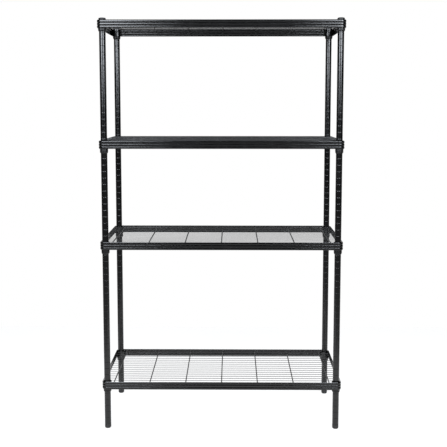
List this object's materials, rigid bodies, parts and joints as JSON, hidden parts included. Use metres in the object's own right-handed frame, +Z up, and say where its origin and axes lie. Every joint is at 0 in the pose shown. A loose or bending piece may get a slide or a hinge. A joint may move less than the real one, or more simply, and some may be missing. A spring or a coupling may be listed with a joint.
{
  "type": "wire shelving rack",
  "caption": "Free-standing wire shelving rack: ring-grooved posts carry ribbed-rim wire shelves on tapered split sleeves, with levelling feet.",
  "frame": {"origin": "centre of the footprint, on the floor under the levelling feet", "axes": "+Z up, +X to the right along the shelves, +Y to the back"},
  "size_m": [0.9544, 0.4464, 1.6256],
  "materials": {
    "post_coat": "semi-gloss black powder coat on round steel tube with ring grooves",
    "rim_coat": "semi-gloss black powder coat on ribbed steel strip",
    "wire_coat": "semi-gloss black powder coat on welded round wire",
    "cap_plastic": "smooth moulded black plastic",
    "sleeve_plastic": "moulded black plastic with a fine grain",
    "foot_plastic": "moulded dark plastic, a little scuffed at the sole",
    "insert_steel": "black zinc-plated steel"
  },
  "bodies": {
    "posts": {"post_front_left": "post_coat", "post_front_right": "post_coat", "post_back_left": "post_coat", "post_back_right": "post_coat", "cap_front_left": "cap_plastic", "cap_front_right": "cap_plastic", "cap_back_left": "cap_plastic", "cap_back_right": "cap_plastic", "insert_front_left": "insert_steel", "insert_front_right": "insert_steel", "insert_back_left": "insert_steel", "insert_back_right": "insert_steel", "sleeve_bottom_front_left_inner": "sleeve_plastic", "sleeve_bottom_front_left_outer": "sleeve_plastic", "sleeve_bottom_front_right_inner": "sleeve_plastic", "sleeve_bottom_front_right_outer": "sleeve_plastic", "sleeve_bottom_back_left_inner": "sleeve_plastic", "sleeve_bottom_back_left_outer": "sleeve_plastic", "sleeve_bottom_back_right_inner": "sleeve_plastic", "sleeve_bottom_back_right_outer": "sleeve_plastic", "sleeve_second_front_left_inner": "sleeve_plastic", "sleeve_second_front_left_outer": "sleeve_plastic", "sleeve_second_front_right_inner": "sleeve_plastic", "sleeve_second_front_right_outer": "sleeve_plastic", "sleeve_second_back_left_inner": "sleeve_plastic", "sleeve_second_back_left_outer": "sleeve_plastic", "sleeve_second_back_right_inner": "sleeve_plastic", "sleeve_second_back_right_outer": "sleeve_plastic", "sleeve_third_front_left_inner": "sleeve_plastic", "sleeve_third_front_left_outer": "sleeve_plastic", "sleeve_third_front_right_inner": "sleeve_plastic", "sleeve_third_front_right_outer": "sleeve_plastic", "sleeve_third_back_left_inner": "sleeve_plastic", "sleeve_third_back_left_outer": "sleeve_plastic", "sleeve_third_back_right_inner": "sleeve_plastic", "sleeve_third_back_right_outer": "sleeve_plastic", "sleeve_top_front_left_inner": "sleeve_plastic", "sleeve_top_front_left_outer": "sleeve_plastic", "sleeve_top_front_right_inner": "sleeve_plastic", "sleeve_top_front_right_outer": "sleeve_plastic", "sleeve_top_back_left_inner": "sleeve_plastic", "sleeve_top_back_left_outer": "sleeve_plastic", "sleeve_top_back_right_inner": "sleeve_plastic", "sleeve_top_back_right_outer": "sleeve_plastic"},
    "shelf_bottom": {"rim_bottom": "rim_coat", "deck_bottom": "wire_coat"},
    "shelf_second": {"rim_second": "rim_coat", "deck_second": "wire_coat"},
    "shelf_third": {"rim_third": "rim_coat", "deck_third": "wire_coat"},
    "shelf_top": {"rim_top": "rim_coat", "deck_top": "wire_coat"},
    "leveller_front_left": {"foot_front_left": "foot_plastic"},
    "leveller_front_right": {"foot_front_right": "foot_plastic"},
    "leveller_back_left": {"foot_back_left": "foot_plastic"},
    "leveller_back_right": {"foot_back_right": "foot_plastic"}
  },
  "joints": [
    {"name": "lift_shelf_bottom", "type": "slide", "parent": "posts", "child": "shelf_bottom", "axis": [0, 0, 1], "range_m": [0, 0.509]},
    {"name": "lift_shelf_second", "type": "slide", "parent": "posts", "child": "shelf_second", "axis": [0, 0, 1], "range_m": [0, 0.342]},
    {"name": "lift_shelf_third", "type": "slide", "parent": "posts", "child": "shelf_third", "axis": [0, 0, 1], "range_m": [0, 0.413]},
    {"name": "lift_shelf_top", "type": "slide", "parent": "posts", "child": "shelf_top", "axis": [0, 0, 1], "range_m": [0, 0.06]},
    {"name": "level_front_left", "type": "slide", "parent": "posts", "child": "leveller_front_left", "axis": [0, 0, -1], "range_m": [0, 0.012]},
    {"name": "level_front_right", "type": "slide", "parent": "posts", "child": "leveller_front_right", "axis": [0, 0, -1], "range_m": [0, 0.012]},
    {"name": "level_back_left", "type": "slide", "parent": "posts", "child": "leveller_back_left", "axis": [0, 0, -1], "range_m": [0, 0.012]},
    {"name": "level_back_right", "type": "slide", "parent": "posts", "child": "leveller_back_right", "axis": [0, 0, -1], "range_m": [0, 0.012]}
  ]
}
